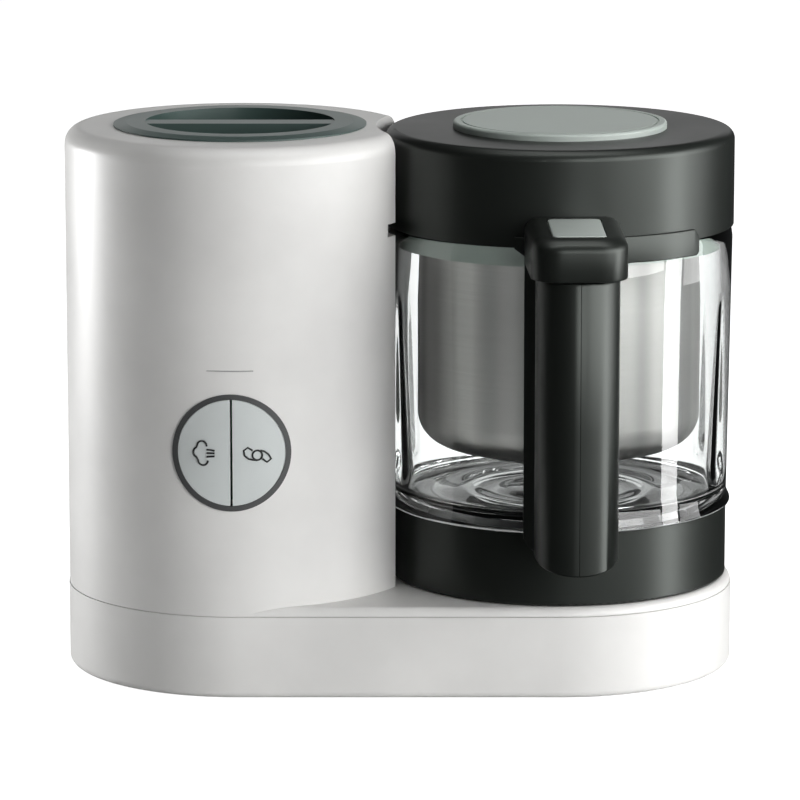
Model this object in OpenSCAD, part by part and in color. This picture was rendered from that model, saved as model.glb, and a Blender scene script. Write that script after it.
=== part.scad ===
// Baby food maker: a steam tower and a blender jug that stand side by side on one base.
// Millimetres. +Z up, +X from the tower to the jug, -Y is the front with the buttons.
// The origin is on the table, midway between the tower axis and the jug axis.

/* [Layout] */
// Distance between the tower axis and the jug axis
axis_gap = 140.4; // [132:0.2:180]
// Radius of the rounded ends of the base
base_r = 77.3; // [72:0.1:96]
// Height of the deck that the tower and jug stand on
deck_z = 40.5; // [38.5:0.5:50]
// Height of the tower's top face
tower_top = 240.3; // [200:0.1:300]
// Height that the feet lift the base
foot_h = 0.4; // [0.3:0.1:4]
// Height of the seam between the base housing and the deck
seam_z = 36.5; // [30:0.1:37]

/* [Walls] */
// Wall of the base housing
base_wall = 3.2; // [2.6:0.1:4]
// Wall of the tower shell
tower_wall = 2.6; // [2:0.1:3.6]
// Radius of the base's top edge
deck_fillet = 3.5; // [1.5:0.1:5]
// Radius of the tower's top edge
tower_fillet = 7.5; // [4:0.1:10]
// How far the tower sits inside the base's edge
tower_inset = 0.3; // [0.1:0.1:3]

/* [Jug and lid] */
// Radius of the lid
lid_r = 76.7; // [70:0.1:84]
// Radius of the jug's collar
collar_r = 74.6; // [68:0.1:80]
// Height of the collar
collar_h = 31.9; // [26:0.1:44]
// Height of the glass above the collar
glass_h = 124.5; // [100:0.1:150]
// Wall of the glass
glass_wall = 4.2; // [3:0.1:6]
// Height of the lid
lid_h = 41.7; // [34:0.1:52]
// Wall of the lid
lid_wall = 2.6; // [2:0.1:4]
// Radius of the disc let into the lid
lid_disc_r = 46.9; // [36:0.1:56]
// Free space between the lid and the tower's hollow side
recess_gap = 3.9; // [2:0.1:8]

/* [Steam basket] */
// Radius of the steel basket
basket_r = 62.4; // [54:0.1:66]
// Height of the basket's floor above the jug's floor
basket_lift = 21; // [16:0.5:40]
// Wall of the basket
basket_wall = 1; // [0.6:0.1:2]

/* [Handle] */
// Width of the handle's top block
block_w = 41; // [32:0.5:50]
// Width of the grip
grip_w = 35.5; // [28:0.5:40]
// Depth of the grip, front to back
grip_d = 23; // [19:0.5:30]
// Free depth for the fingers
finger_gap = 21.5; // [18:0.5:36]
// Turn of the handle from straight ahead, towards the jug's side
handle_turn = 2.4; // [0:0.1:20]

/* [Controls] */
// Outer diameter of the ring around the buttons
ring_d = 51.2; // [40:0.1:60]
// Width of that ring
ring_w = 2.25; // [1.5:0.05:4]
// Height of the ring's centre
ring_z = 109; // [90:0.5:130]
// Travel of each button
button_travel = 1.5; // [1:0.1:2.5]
// Turn of the control panel about the tower, away from the jug
panel_turn = 1.6; // [0:0.1:10]

/* [Water tank] */
// Land left between the cap and the tower's hollow side
cap_land = 4.3; // [3:0.1:8]
// Depth of the finger pockets in the cap
pocket_depth = 14; // [8:0.5:18]
// Width of the cap's grip bar
bar_w = 12.5; // [8:0.5:18]
// Wall of the tank
tank_wall = 2; // [1.5:0.1:3]

/* [Drive] */
// Radius of the drive shaft
shaft_r = 4; // [3:0.1:6]
// Teeth of the motor's pulley
motor_teeth = 18; // [14:1:22]
// Teeth of the drive pulley
drive_teeth = 36; // [28:1:44]
// Radius of the motor can
motor_r = 29; // [24:0.5:34]

/* [Clearances] */
// Gap between parts that slide or turn past each other
slide_gap = 0.3; // [0.2:0.05:0.6]
// Radial clearance of a shaft in its bush
bush_gap = 0.05; // [0.02:0.01:0.09]

/* [Hidden] */
$fn = 96;
tower_x = -axis_gap / 2;
jug_x = axis_gap / 2;
tower_r = base_r - tower_inset;
recess_r = lid_r + recess_gap;
// How far the tower reaches towards the jug: to the recess, or to its own wall if the jug is clear.
recess_reach = min(axis_gap - recess_r, tower_r);
tooth_pitch = 3;
motor_pulley_r = motor_teeth * tooth_pitch / (2 * PI);
drive_pulley_r = drive_teeth * tooth_pitch / (2 * PI);

// Base
plate_t = 3;
deck_t = 3;
deck_under = deck_z - deck_t;
deck_r = tower_r - 0.1;
seam_gap = 0.2;
lip_r = base_r - base_wall - 0.2;
lip_t = 1.6;
lip_drop = 3;
plate_top = foot_h + plate_t;
plate_r = base_r - base_wall - 0.15;
screw_r = 1.5;
boss_r = 4.5;
screw_head_r = 3.2;
screw_head_h = 1.4;
corner_boss = (base_r - base_wall - boss_r - 2) * sqrt(0.5);
screw_places = [
    [tower_x - corner_boss, corner_boss], [tower_x - corner_boss, -corner_boss],
    [jug_x + corner_boss, corner_boss], [jug_x + corner_boss, -corner_boss],
    [0, base_r - base_wall - boss_r - 4], [0, -(base_r - base_wall - boss_r - 4)]
];
foot_r = 9;
foot_pocket = 1.2;
foot_y = base_r - base_wall - foot_r - 10;
foot_x = jug_x + 20;
foot_places = [[foot_x, foot_y], [foot_x, -foot_y], [-foot_x, foot_y], [-foot_x, -foot_y], [0, 0]];
inlet_z = 16;
inlet_r = 5.5;
inlet_x = tower_x + 10;
floor_hole_r = recess_reach - tower_wall - 2.2;

// Drive line, under the jug
pulley_z = 12;
pulley_h = 10;
turret_z = deck_z + 6;
bush_r = shaft_r + 3;
carrier_r = bush_r + 2.6;
turret_r = carrier_r + 4;
clutch_z = turret_z + 0.5;
clutch_h = 7;
lug_h = 4;
lug_w = 4.4;
lug_in = 7;
clutch_r = 11;
blade_clutch_z = clutch_z + clutch_h - lug_h + 0.5;

// Jug
collar_z = deck_z + 0.4;
collar_top = collar_z + collar_h;
collar_wall = 2.6;
glass_seat = collar_top - 3.4;
glass_low_r = collar_r + 0.1;
glass_top_r = lid_r - 0.3;
glass_floor_z = glass_seat + 4.5;
glass_floor_t = 4;
glass_floor_top = glass_floor_z + glass_floor_t;
glass_top = collar_top + glass_h;
blade_hole_r = 9.5;
foot_ring_r = collar_r - 5;
foot_ring_rise = 1.4;

// Lid
lid_z = glass_top + slide_gap;
lid_top = lid_z + lid_h;
skirt_r = lid_r + 1.4;
skirt_low = lid_z - 6.8;
skirt_high = lid_z + 4.7;
skirt_from = -16;
skirt_to = 48.6;
spigot_r = glass_top_r - glass_wall - 2.6;
port_z = lid_z + 18;

// Basket
basket_z = glass_floor_top + basket_lift;
rim_z = glass_top - 8.5;
rim_r = glass_top_r - glass_wall - 2 * slide_gap;

// Handle, drawn straight ahead and then turned
strap_in = skirt_r + 0.4;
strap_t = 2.6;
strap_out = strap_in + strap_t;
grip_back = strap_out + finger_gap;
grip_front = grip_back + grip_d;
block_z = skirt_low + 0.3;
block_h = 20.2;
block_top = block_z + block_h;
handle_floor_t = 4;
grip_low = collar_z + 24.1;
strap_low = collar_top - 3;
button_w = 22.8;
button_t = 3;
button_back = strap_in + 3;
button_front = grip_front - 9;
latch_z = block_z + 3.6;
latch_h = 4;
latch_w = 10;
button_well = 7;
release_travel = 2.5;

// Tank
cap_r = recess_reach - cap_land;
cap_top = tower_top + 1.7;
neck_out_r = cap_r - 6;
neck_in_r = neck_out_r - tank_wall;
plug_r = neck_in_r - 1.5;
pocket_r = plug_r - 4.5;
tank_r = recess_reach - tower_wall - 3.2;
tank_z = ring_z + 5;
tank_shoulder = tower_top - 17;
steam_z = port_z;
nozzle_r = 5;

// Controls
ring_out = ring_d / 2;
ring_in = ring_out - ring_w;
button_gap = 1;
board_y = -(tower_r - 16.6);
board_t = 1.6;
pad_y = -(tower_r - 8);
switch_h = 3.5;
spring_r = 5.2;

// ---------------------------------------------------------------- shared shapes

// Places its children on the tower axis.
module at_tower() {
    translate([tower_x, 0, 0]) children();
}

// Places its children on the jug axis.
module at_jug() {
    translate([jug_x, 0, 0]) children();
}

// Round pipe standing on z0.
module pipe(r_out, r_in, z0, z1) {
    translate([0, 0, z0]) rotate_extrude() translate([r_in, 0]) square([r_out - r_in, z1 - z0]);
}

// Half outline of a disc with a rounded upper and a rounded lower outer edge.
module rounded_half(r, z0, z1, top, low) {
    difference() {
        translate([0, z0]) square([r, z1 - z0]);
        if (top > 0) {
            difference() {
                translate([r - top, z1 - top]) square([top + 1, top + 1]);
                translate([r - top, z1 - top]) circle(top);
            }
        }
        if (low > 0) {
            difference() {
                translate([r - low, z0 - 1]) square([low + 1, low + 1]);
                translate([r - low, z0 + low]) circle(low);
            }
        }
    }
}

// Body with two rounded ends, one on the tower axis and one on the jug axis.
module long_round(r, z0, z1, top = 0, low = 0) {
    at_jug() rotate_extrude(angle = 180, start = -90) rounded_half(r, z0, z1, top, low);
    at_tower() rotate_extrude(angle = 180, start = 90) rounded_half(r, z0, z1, top, low);
    translate([tower_x, 0, 0]) rotate([90, 0, 90]) linear_extrude(axis_gap) {
        rounded_half(r, z0, z1, top, low);
        mirror([1, 0]) rounded_half(r, z0, z1, top, low);
    }
}

// Coil spring along +Z from z = 0: turns of round wire, swept as rings of points.
module coil(r, wire_r, height, turns) {
    rings = turns * 12;
    sides = 6;
    points = [
        for (i = [0 : rings])
            let (a = 360 * turns * i / rings, h = wire_r + (height - 2 * wire_r) * i / rings)
            for (j = [0 : sides - 1])
                let (b = 360 * j / sides, q = r + wire_r * cos(b))
                [q * cos(a), q * sin(a), h + wire_r * sin(b)]
    ];
    walls = [
        for (i = [0 : rings - 1])
            for (j = [0 : sides - 1])
                let (k = (j + 1) % sides, p = i * sides)
                each [[p + j, p + sides + k, p + k], [p + j, p + sides + j, p + sides + k]]
    ];
    caps = [
        [for (j = [0 : sides - 1]) j],
        [for (j = [sides - 1 : -1 : 0]) rings * sides + j]
    ];
    polyhedron(points = points, faces = concat(walls, caps));
}

// Toothed pulley standing on z0: grooves cut into a rim between two flanges.
module toothed_pulley(teeth, pitch_r, hole_r, z0, h) {
    translate([0, 0, z0]) difference() {
        union() {
            cylinder(r = pitch_r + 1.2, h = 1);
            translate([0, 0, 0.5]) cylinder(r = pitch_r - 0.6, h = h - 1);
            translate([0, 0, h - 1]) cylinder(r = pitch_r + 1.2, h = 1);
        }
        for (i = [0 : teeth - 1]) {
            rotate([0, 0, 360 * i / teeth])
                translate([pitch_r - 0.4, 0, 1.3]) cylinder(r = 0.8, h = h - 2.6, $fn = 24);
        }
        translate([0, 0, -1]) cylinder(r = hole_r, h = h + 2);
    }
}

// Belt section: a strip of thickness t that stands off a pulley of radius r, and height h.
module belt_section(r, t, h) {
    translate([r, 0]) square([t, h]);
}

// Endless belt round a pulley of radius ra at the tower and one of radius rb at the jug.
module belt_loop(ra, rb, t, h) {
    a = acos((rb - ra) / axis_gap);
    run = axis_gap * sin(a);
    at_tower() rotate_extrude(angle = 2 * a, start = 180 - a) belt_section(ra, t, h);
    at_jug() rotate_extrude(angle = 360 - 2 * a, start = a - 180) belt_section(rb, t, h);
    for (side = [0, 1]) {
        mirror([0, side, 0]) at_tower() rotate([0, 0, 90 - a]) translate([0, ra, 0]) cube([run, t, h]);
    }
}

// Ring with two driving lugs on one face; up = 1 puts them on top, -1 underneath.
module dog_clutch(z0, up, hole_r) {
    lug_z = up > 0 ? z0 + clutch_h - lug_h : z0;
    ring_low = up > 0 ? z0 : z0 + lug_h;
    difference() {
        union() {
            translate([0, 0, ring_low]) cylinder(r = clutch_r, h = clutch_h - lug_h);
            intersection() {
                translate([0, 0, lug_z]) cylinder(r = clutch_r, h = lug_h);
                for (s = [0, 180]) {
                    rotate([0, 0, s]) translate([lug_in, -lug_w / 2, z0 - 1])
                        cube([clutch_r, lug_w, clutch_h + 2]);
                }
            }
        }
        translate([0, 0, z0 - 1]) cylinder(r = hole_r, h = clutch_h + 2);
    }
}

// Places its children at the panel's centre: +X along the panel, -Y out of the tower.
module at_panel() {
    at_tower() rotate([0, 0, -panel_turn]) translate([0, 0, ring_z]) children();
}

// Round bar along the panel's own Y, from y0 to y1.
module panel_bar(r, y0, y1) {
    translate([0, y0, 0]) rotate([-90, 0, 0]) cylinder(r = r, h = y1 - y0);
}

// Curved skin of the tower around the panel, between two radii.
module panel_skin(r_in, r_out) {
    translate([0, 0, -ring_d]) rotate_extrude() translate([r_in, 0]) square([r_out - r_in, 2 * ring_d]);
}

// Places its children on the jug axis with the handle straight ahead at -Y.
module at_handle() {
    at_jug() rotate([0, 0, handle_turn]) children();
}

// ---------------------------------------------------------------- base

module base_housing() {
    color("whitesmoke") difference() {
        long_round(base_r, foot_h, seam_z, 0, base_wall - 0.2);
        long_round(base_r - base_wall, foot_h - 1, seam_z + 1);
        translate([inlet_x, base_r, inlet_z]) rotate([90, 0, 0])
            translate([0, 0, -1]) cylinder(r = inlet_r, h = base_wall * 3);
    }
}

module bottom_plate() {
    color("whitesmoke") difference() {
        long_round(plate_r, foot_h, plate_top);
        for (p = screw_places) {
            translate([p[0], p[1], foot_h - 1]) cylinder(r = screw_r + 0.2, h = plate_t + 2);
            translate([p[0], p[1], foot_h - 1]) cylinder(r = screw_head_r + 0.3, h = screw_head_h + 1.2);
        }
        for (p = foot_places) {
            translate([p[0], p[1], foot_h - 1]) cylinder(r = foot_r + 0.1, h = foot_pocket + 1);
        }
        for (i = [-4 : 4]) {
            translate([tower_x + i * 7 - 1.5, -22, foot_h - 1]) cube([3, 44, plate_t + 2]);
        }
    }
}

module foot_pads() {
    color("dimgray") for (p = foot_places) {
        translate([p[0], p[1], 0]) rotate_extrude() rounded_half(foot_r, 0, foot_h + foot_pocket, 0, 0.8);
    }
}

module base_screws() {
    head_z = foot_h + 0.2;
    color("silver") for (p = screw_places) {
        translate([p[0], p[1], head_z]) difference() {
            union() {
                cylinder(r = screw_head_r, h = screw_head_h - 0.05);
                cylinder(r = screw_r, h = 14);
            }
            for (a = [0, 90]) {
                rotate([0, 0, a]) translate([-2, -0.4, -1]) cube([4, 0.8, 1.7]);
            }
        }
    }
}

module mains_inlet_bush() {
    color("dimgray") translate([inlet_x, base_r, inlet_z]) rotate([90, 0, 0]) difference() {
        union() {
            translate([0, 0, -1.6]) cylinder(r = inlet_r + 2, h = 1.6);
            translate([0, 0, -0.6]) cylinder(r = inlet_r - 0.05, h = base_wall + 3);
        }
        translate([0, 0, -5]) cylinder(r = inlet_r - 2, h = base_wall + 12);
    }
}

module terminal_block() {
    block = [30, 12, 10];
    color("ivory") translate([inlet_x - block[0] / 2, base_r - base_wall - 28, plate_top]) difference() {
        cube(block);
        for (i = [0 : 2]) {
            translate([5 + i * 10, block[1] / 2, 3]) cylinder(r = 2, h = block[2]);
        }
    }
}

// ---------------------------------------------------------------- tower

// Deck with its turned-down edge, the lip inside the base, the screw bosses and the turret.
module deck() {
    difference() {
        union() {
            difference() {
                long_round(deck_r, seam_z + seam_gap, deck_z, deck_fillet, 0);
                long_round(deck_r - base_wall, seam_z - 1, deck_under);
            }
            difference() {
                long_round(lip_r, seam_z - lip_drop, deck_under + 0.5);
                long_round(lip_r - lip_t, seam_z - lip_drop - 1, deck_under + 1);
            }
            for (p = screw_places) {
                translate([p[0], p[1], plate_top]) cylinder(r = boss_r, h = deck_under - plate_top + 1);
            }
            at_jug() translate([0, 0, deck_under]) cylinder(r = turret_r, h = turret_z - deck_under);
        }
        for (p = screw_places) {
            translate([p[0], p[1], plate_top - 1]) cylinder(r = screw_r + 0.1, h = 15);
        }
        at_jug() translate([0, 0, deck_under - 1])
            cylinder(r = carrier_r, h = turret_z - deck_under + 2);
        at_tower() translate([0, 0, deck_under - 1]) cylinder(r = floor_hole_r, h = deck_t + 2);
    }
}

// Outer wall and top of the tower, with its hollow side for the jug.
module tower_wall_and_top() {
    inner_r = tower_r - tower_wall;
    difference() {
        at_tower() rotate_extrude() difference() {
            rounded_half(tower_r, seam_z + seam_gap, tower_top, tower_fillet, 0);
            translate([-1, seam_z - 1]) square([inner_r + 1, tower_top - seam_z + 1 - tower_fillet]);
            translate([-1, deck_z])
                square([tower_r - tower_fillet, tower_top - deck_z - tower_wall]);
            translate([tower_r - tower_fillet - 1.5, tower_top - tower_fillet - 2])
                square([3, tower_fillet - tower_wall]);
        }
        at_jug() translate([0, 0, seam_z - 1]) cylinder(r = recess_r, h = tower_top, $fn = 180);
        at_panel() panel_bar(ring_out, -tower_r - 5, -tower_r + 12);
        at_panel() translate([-9.4, -tower_r - 1, 35.2]) cube([18.8, 1.5, 0.6]);
    }
}

// Curved inner wall of the tower, concentric with the jug, that closes its hollow side.
module recess_wall() {
    intersection() {
        at_jug() pipe(recess_r + tower_wall, recess_r, deck_under + 0.5, tower_top - tower_wall);
        at_tower() translate([0, 0, deck_under]) cylinder(r = tower_r - tower_wall + 0.5, h = tower_top);
    }
}

module tower_shell() {
    notch_low = skirt_low + 6;
    color("whitesmoke") difference() {
        union() {
            deck();
            tower_wall_and_top();
            recess_wall();
        }
        at_tower() translate([0, 0, tower_top - 10]) cylinder(r = neck_out_r + 0.3, h = 20);
        at_jug() translate([-recess_r - 30, 0, port_z]) rotate([0, 90, 0]) cylinder(r = nozzle_r, h = 40);
        intersection() {
            at_jug() pipe(recess_r + 5.4, recess_r - 1, notch_low, notch_low + 5.6);
            translate([tower_x, -tower_r - 1, 0]) cube([tower_r + 5, tower_r, tower_top]);
        }
    }
}

module control_ring() {
    color("dimgray") at_panel() intersection() {
        difference() {
            panel_bar(ring_out - 0.02, -tower_r - 5, -40);
            panel_bar(ring_in, -tower_r - 6, -39);
        }
        panel_skin(tower_r - 4.6, tower_r + 0.5);
    }
}

// One half-round button; side = -1 is the left one and 1 is the right one.
module half_button(side) {
    cut = button_gap / 2;
    flange_r = tower_r - 4.6 - slide_gap;
    stem_x = side * ring_in * 0.45;
    at_panel() {
        intersection() {
            union() {
                intersection() {
                    panel_bar(ring_in - 0.2, -tower_r - 5, -30);
                    panel_skin(flange_r - 1.4, tower_r + 0.2);
                }
                intersection() {
                    panel_bar(ring_out - 0.7, -tower_r - 5, -30);
                    panel_skin(flange_r - 1.4, flange_r);
                }
                translate([stem_x, 0, 0]) panel_bar(spring_r + 1.2, -flange_r + 1, pad_y);
                translate([stem_x, 0, 0])
                    panel_bar(2, pad_y - 1, board_y - switch_h - button_travel - 0.2);
            }
            translate([side > 0 ? cut : -cut - ring_d, -tower_r - 6, -ring_d])
                cube([ring_d, 60, 2 * ring_d]);
        }
    }
}

module steam_button() {
    color("lightgray") half_button(-1);
}

module blend_button() {
    color("lightgray") half_button(1);
}

// Spring between a button's pad and the circuit board.
module button_spring(side) {
    color("silver") at_panel() translate([side * ring_in * 0.45, board_y - 0.02, 0])
        rotate([90, 0, 0]) coil(spring_r, 0.35, board_y - pad_y - 0.04, 4);
}

module steam_button_spring() {
    button_spring(-1);
}

module blend_button_spring() {
    button_spring(1);
}

module control_board() {
    color("darkgreen") at_panel() {
        difference() {
            translate([-28, board_y, -24]) cube([56, board_t, 52]);
            for (x = [-24, 24], z = [-20, 24]) {
                translate([x, 0, z]) panel_bar(1.6, board_y - 1, board_y + board_t + 1);
            }
        }
    }
}

module board_switches() {
    color("dimgray") at_panel() for (side = [-1, 1]) {
        translate([side * ring_in * 0.45 - 3, board_y - switch_h + 0.8, -3]) cube([6, switch_h - 0.8, 6]);
        translate([side * ring_in * 0.45, 0, 0]) panel_bar(1.6, board_y - switch_h, board_y - 1);
    }
}

module lid_safety_switch() {
    notch_low = skirt_low + 6;
    color("dimgray") at_jug() rotate([0, 0, 180 + 16]) translate([recess_r + 6.2, -6, notch_low - 4])
        cube([5, 14, 12]);
}

// ---------------------------------------------------------------- motor and belt

module motor_mount() {
    color("silver") at_tower() difference() {
        translate([0, 0, deck_z]) cylinder(r = floor_hole_r + 1.6, h = 3);
        translate([0, 0, deck_z - 1]) cylinder(r = 8, h = 5);
        for (a = [0 : 60 : 300]) {
            rotate([0, 0, a]) translate([motor_r + 9, 0, deck_z - 1]) cylinder(r = 5, h = 5);
        }
    }
}

module motor_can() {
    can_z = deck_z + 3;
    color("silver") at_tower() translate([0, 0, can_z]) rotate_extrude() difference() {
        rounded_half(motor_r, 0, ring_z - can_z - 16, 2, 0);
        translate([-1, 2]) square([motor_r - 1, ring_z - can_z - 20]);
        translate([-1, -1]) square([6, 4]);
    }
}

module motor_armature() {
    can_z = deck_z + 3;
    color("peru") at_tower() difference() {
        translate([0, 0, can_z + 6]) cylinder(r = motor_r - 6, h = ring_z - can_z - 30);
        translate([0, 0, can_z]) cylinder(r = 2.5, h = ring_z);
    }
}

module motor_shaft() {
    color("silver") at_tower() translate([0, 0, pulley_z - 2]) cylinder(r = 2.5, h = ring_z - pulley_z - 22);
}

module motor_pulley() {
    color("silver") at_tower() toothed_pulley(motor_teeth, motor_pulley_r, 2.5, pulley_z, pulley_h);
}

module cooling_fan() {
    fan_z = pulley_z + pulley_h + 2;
    blade_h = deck_under - fan_z - 3;
    color("dimgray") at_tower() difference() {
        union() {
            translate([0, 0, fan_z]) cylinder(r = 7, h = blade_h);
            translate([0, 0, fan_z + blade_h - 1.2]) cylinder(r = motor_r - 5, h = 1.2);
            for (a = [0 : 30 : 330]) {
                rotate([0, 0, a]) translate([5, -0.7, fan_z]) cube([motor_r - 10.5, 1.4, blade_h - 0.4]);
            }
        }
        translate([0, 0, fan_z - 1]) cylinder(r = 2.5, h = blade_h + 2);
    }
}

module drive_belt() {
    stand_off = slide_gap - 0.6;
    color("dimgray") translate([0, 0, pulley_z + 1 + slide_gap])
        belt_loop(motor_pulley_r + stand_off, drive_pulley_r + stand_off, 1.6, pulley_h - 2 - 2 * slide_gap);
}

module drive_pulley() {
    color("silver") at_jug() toothed_pulley(drive_teeth, drive_pulley_r, shaft_r, pulley_z, pulley_h);
}

module bearing_carrier() {
    carrier_low = pulley_z + pulley_h + 2;
    color("silver") at_jug() difference() {
        union() {
            translate([0, 0, carrier_low]) cylinder(r = carrier_r - 0.05, h = turret_z - carrier_low);
            translate([0, 0, deck_under - 3]) cylinder(r = turret_r, h = 3);
        }
        translate([0, 0, carrier_low - 1]) cylinder(r = bush_r, h = turret_z);
    }
}

module drive_bushes() {
    carrier_low = pulley_z + pulley_h + 2;
    bush_h = 6;
    color("darkgoldenrod") at_jug() {
        pipe(bush_r - 0.02, shaft_r + bush_gap, carrier_low, carrier_low + bush_h);
        pipe(bush_r - 0.02, shaft_r + bush_gap, turret_z - bush_h, turret_z);
    }
}

module drive_shaft() {
    color("silver") at_jug() translate([0, 0, pulley_z - 2])
        cylinder(r = shaft_r, h = clutch_z + clutch_h - lug_h - pulley_z + 2);
}

module drive_clutch() {
    color("dimgray") at_jug() dog_clutch(clutch_z, 1, shaft_r);
}

// ---------------------------------------------------------------- water tank and steam line

module water_tank() {
    color("lightsteelblue") at_tower() difference() {
        union() {
            rotate_extrude() {
                translate([tank_r - tank_wall, tank_z]) square([tank_wall, tank_shoulder - tank_z]);
                translate([neck_in_r, tank_shoulder - tank_wall])
                    square([tank_r - neck_in_r, tank_wall]);
                translate([neck_in_r, tank_shoulder - tank_wall])
                    square([tank_wall, tower_top - tank_shoulder + tank_wall - 0.2]);
                translate([tank_r - 6, tank_z]) square([6, 3]);
            }
            translate([tank_r - 3, 0, steam_z]) rotate([0, 90, 0]) cylinder(r = 6, h = 4.5);
        }
        translate([tank_r - 10, 0, steam_z]) rotate([0, 90, 0]) cylinder(r = 3, h = 20);
    }
}

module tank_gasket() {
    color("salmon") at_tower() pipe(tank_r, tank_r - 6, tank_z - 2, tank_z);
}

module heating_plate() {
    color("silver") at_tower() translate([0, 0, tank_z - 4]) rotate_extrude() {
        square([tank_r, 2]);
    }
}

module heating_element() {
    color("gray") at_tower() translate([0, 0, tank_z - 8]) {
        rotate_extrude(angle = 300, start = 120) translate([tank_r * 0.6, 0]) circle(4);
        for (a = [60, 120]) {
            rotate([0, 0, a]) translate([tank_r * 0.6, 0, -5]) cylinder(r = 5, h = 8.5);
            rotate([0, 0, a]) translate([tank_r * 0.6, 0, -14]) cylinder(r = 2.5, h = 10);
        }
    }
}

module thermostat() {
    color("ivory") at_tower() {
        translate([0, 0, tank_z - 10]) cylinder(r = 9, h = 6);
        translate([0, 0, tank_z - 14]) cylinder(r = 7, h = 4.5);
    }
}

module tank_cradle() {
    leg_r = 3;
    color("silver") at_tower() {
        pipe(tank_r + 0.4, tank_r - 5, tank_z - 8, tank_z - 4);
        for (a = [0 : 120 : 240]) {
            rotate([0, 0, a]) translate([tank_r - 4, 0, deck_z + 3])
                cylinder(r = leg_r, h = tank_z - 8 - deck_z - 2);
        }
    }
}

module steam_pipe() {
    color("salmon") at_tower() difference() {
        translate([tank_r + 1.5, 0, steam_z]) rotate([0, 90, 0])
            cylinder(r = 3.6, h = recess_reach - tank_r - 3);
        translate([tank_r - 10, 0, steam_z]) rotate([0, 90, 0]) cylinder(r = 2.2, h = 30);
    }
}

module steam_nozzle() {
    color("dimgray") at_tower() difference() {
        translate([recess_reach - 1.5, 0, steam_z]) rotate([0, 90, 0])
            cylinder(r = nozzle_r - 0.05, h = recess_gap + 0.9);
        translate([recess_reach - 5, 0, steam_z]) rotate([0, 90, 0]) cylinder(r = 2.4, h = 20);
    }
}

// ---------------------------------------------------------------- tank cap

module tank_cap_seal() {
    color("white") at_tower()
        pipe(neck_in_r - slide_gap, plug_r - 2 + slide_gap, tower_top - 11, tower_top - 7.5);
}

module tank_cap() {
    floor_z = cap_top - pocket_depth;
    color("darkseagreen") at_tower() {
        difference() {
            rotate_extrude() difference() {
                union() {
                    polygon([
                        [0, tower_top + 0.1], [cap_r, tower_top + 0.1], [cap_r, tower_top + 0.7],
                        [cap_r - 5.5, cap_top], [0, cap_top]
                    ]);
                    translate([0, floor_z - 3]) square([plug_r, tower_top + 0.2 - floor_z + 3]);
                }
                translate([plug_r - 2, tower_top - 11 - slide_gap])
                    square([5, 3.5 + 2 * slide_gap]);
            }
            translate([0, 0, floor_z]) cylinder(r = pocket_r, h = pocket_depth + 1);
            translate([0, 0, floor_z - 5]) cylinder(r = 4, h = 6);
        }
        intersection() {
            translate([0, 0, floor_z - 1]) cylinder(r = pocket_r + 1, h = pocket_depth + 0.5);
            difference() {
                translate([-pocket_r - 1, -bar_w / 2, floor_z - 1])
                    cube([2 * pocket_r + 2, bar_w, pocket_depth + 0.5]);
                translate([0, 0, floor_z - 2]) cylinder(r = 6, h = 6);
            }
        }
    }
}

module cap_relief_valve() {
    floor_z = cap_top - pocket_depth;
    color("dimgray") at_tower() {
        translate([0, 0, floor_z - 5]) cylinder(r = 3.95, h = 6);
        translate([0, 0, floor_z - 5]) cylinder(r = 6.5, h = 1.8);
    }
}

// ---------------------------------------------------------------- jug

module jug_foot_ring() {
    color("dimgray") at_jug()
        pipe(foot_ring_r, foot_ring_r - 5, deck_z + 0.05, collar_z + foot_ring_rise - 0.05);
}

module jug_collar() {
    hub_z = collar_z + 13;
    color("dimgray") at_jug() rotate_extrude() difference() {
        union() {
            difference() {
                rounded_half(collar_r, collar_z, collar_top, 0, 1);
                translate([-1, collar_z - 1])
                    square([collar_r - collar_wall + 1, glass_seat - 4 - collar_z + 1]);
                translate([-1, glass_seat])
                    square([collar_r - collar_wall + 1, 20]);
            }
            translate([clutch_r + 2, hub_z]) square([3, glass_seat - hub_z]);
            translate([foot_ring_r - 6, collar_z + foot_ring_rise]) square([9, 3]);
        }
        translate([-1, hub_z - 5]) square([blade_hole_r + 1, 60]);
    }
}

module jug_glass() {
    low = glass_seat + 0.6;
    color("lightcyan") at_jug() rotate_extrude() difference() {
        polygon([
            [0, low], [glass_low_r - collar_wall - 0.5, low],
            [glass_low_r - collar_wall - 0.5, collar_top + 0.2],
            [glass_top_r, collar_top + 0.2], [glass_low_r, collar_top + 2.4],
            [glass_low_r, collar_top + 4], [glass_top_r, glass_top - 4],
            [glass_top_r, glass_top - 1], [glass_top_r - 1, glass_top],
            [0, glass_top]
        ]);
        polygon([
            [-1, glass_floor_top], [glass_low_r - glass_wall - 8, glass_floor_top],
            [glass_low_r - glass_wall - 2.4, glass_floor_top + 2.4],
            [glass_low_r - glass_wall, glass_floor_top + 8],
            [glass_top_r - glass_wall, glass_top + 1], [-1, glass_top + 1]
        ]);
        translate([-1, low - 1]) square([glass_low_r - 18, glass_floor_z - low + 1]);
        translate([-1, low - 2]) square([blade_hole_r + 1, 30]);
    }
}

module jug_seal() {
    color("dimgray") at_jug() {
        pipe(glass_low_r - collar_wall - 4, glass_low_r - collar_wall - 12, glass_seat, glass_seat + 0.6);
        pipe(blade_hole_r + 8, blade_hole_r + 0.05, glass_seat, glass_floor_z);
    }
}

module blade_bearing() {
    top = glass_floor_top + 5;
    color("silver") at_jug() difference() {
        union() {
            translate([0, 0, glass_seat - 6]) cylinder(r = blade_hole_r - 0.05, h = top - glass_seat + 6);
            translate([0, 0, glass_floor_top + 0.02]) cylinder(r = blade_hole_r + 4, h = 2.5);
        }
        translate([0, 0, 0]) cylinder(r = shaft_r + bush_gap, h = glass_top);
    }
}

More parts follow.
